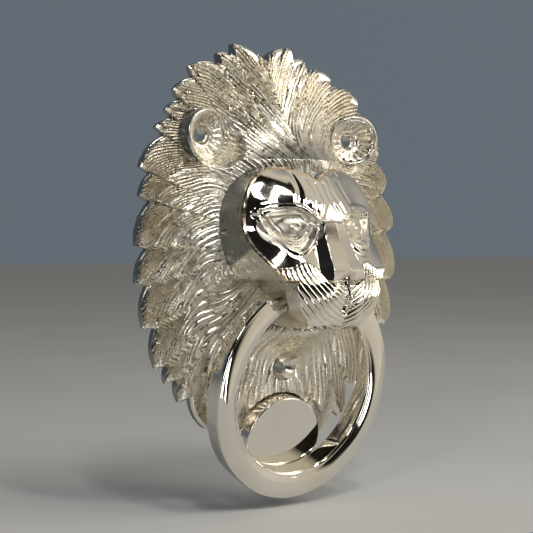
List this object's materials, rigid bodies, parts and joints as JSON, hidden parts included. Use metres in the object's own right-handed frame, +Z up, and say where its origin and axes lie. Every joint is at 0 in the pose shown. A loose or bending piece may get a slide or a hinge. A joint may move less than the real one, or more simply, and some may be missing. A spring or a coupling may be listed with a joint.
{
  "type": "lion mask door knocker",
  "caption": "Cast lion-head door knocker: a toothed mane plate with a polished hollow face holding a swinging oval ring that strikes a round polished stud.",
  "frame": {"origin": "on the door plane, midway between the two fixing holes in the ears", "axes": "+X to the right seen from outside, +Y into the door, +Z up the door; the knocker reaches out towards -Y"},
  "size_m": [0.146, 0.0642, 0.2106],
  "materials": {
    "polished_nickel": "mirror-polished nickel plate on cast metal",
    "cast_nickel": "nickel plate over a rough-cast, combed surface, bright on the ridges",
    "screw_steel": "machined steel screw",
    "pin_steel": "ground steel pin"
  },
  "bodies": {
    "root": {"mane_plate": "cast_nickel", "face_mask": "polished_nickel", "mask_screws": "screw_steel", "striker_stud": "polished_nickel", "striker_screw": "screw_steel"},
    "ring": {"knocker_ring": "polished_nickel", "pivot_pins": "pin_steel"}
  },
  "joints": [
    {"name": "ring_swing", "type": "hinge", "parent": "root", "child": "ring", "pos_m": [0, -0.0347, -0.0742], "axis": [-1, 0, 0], "range_deg": [0, 110]}
  ]
}
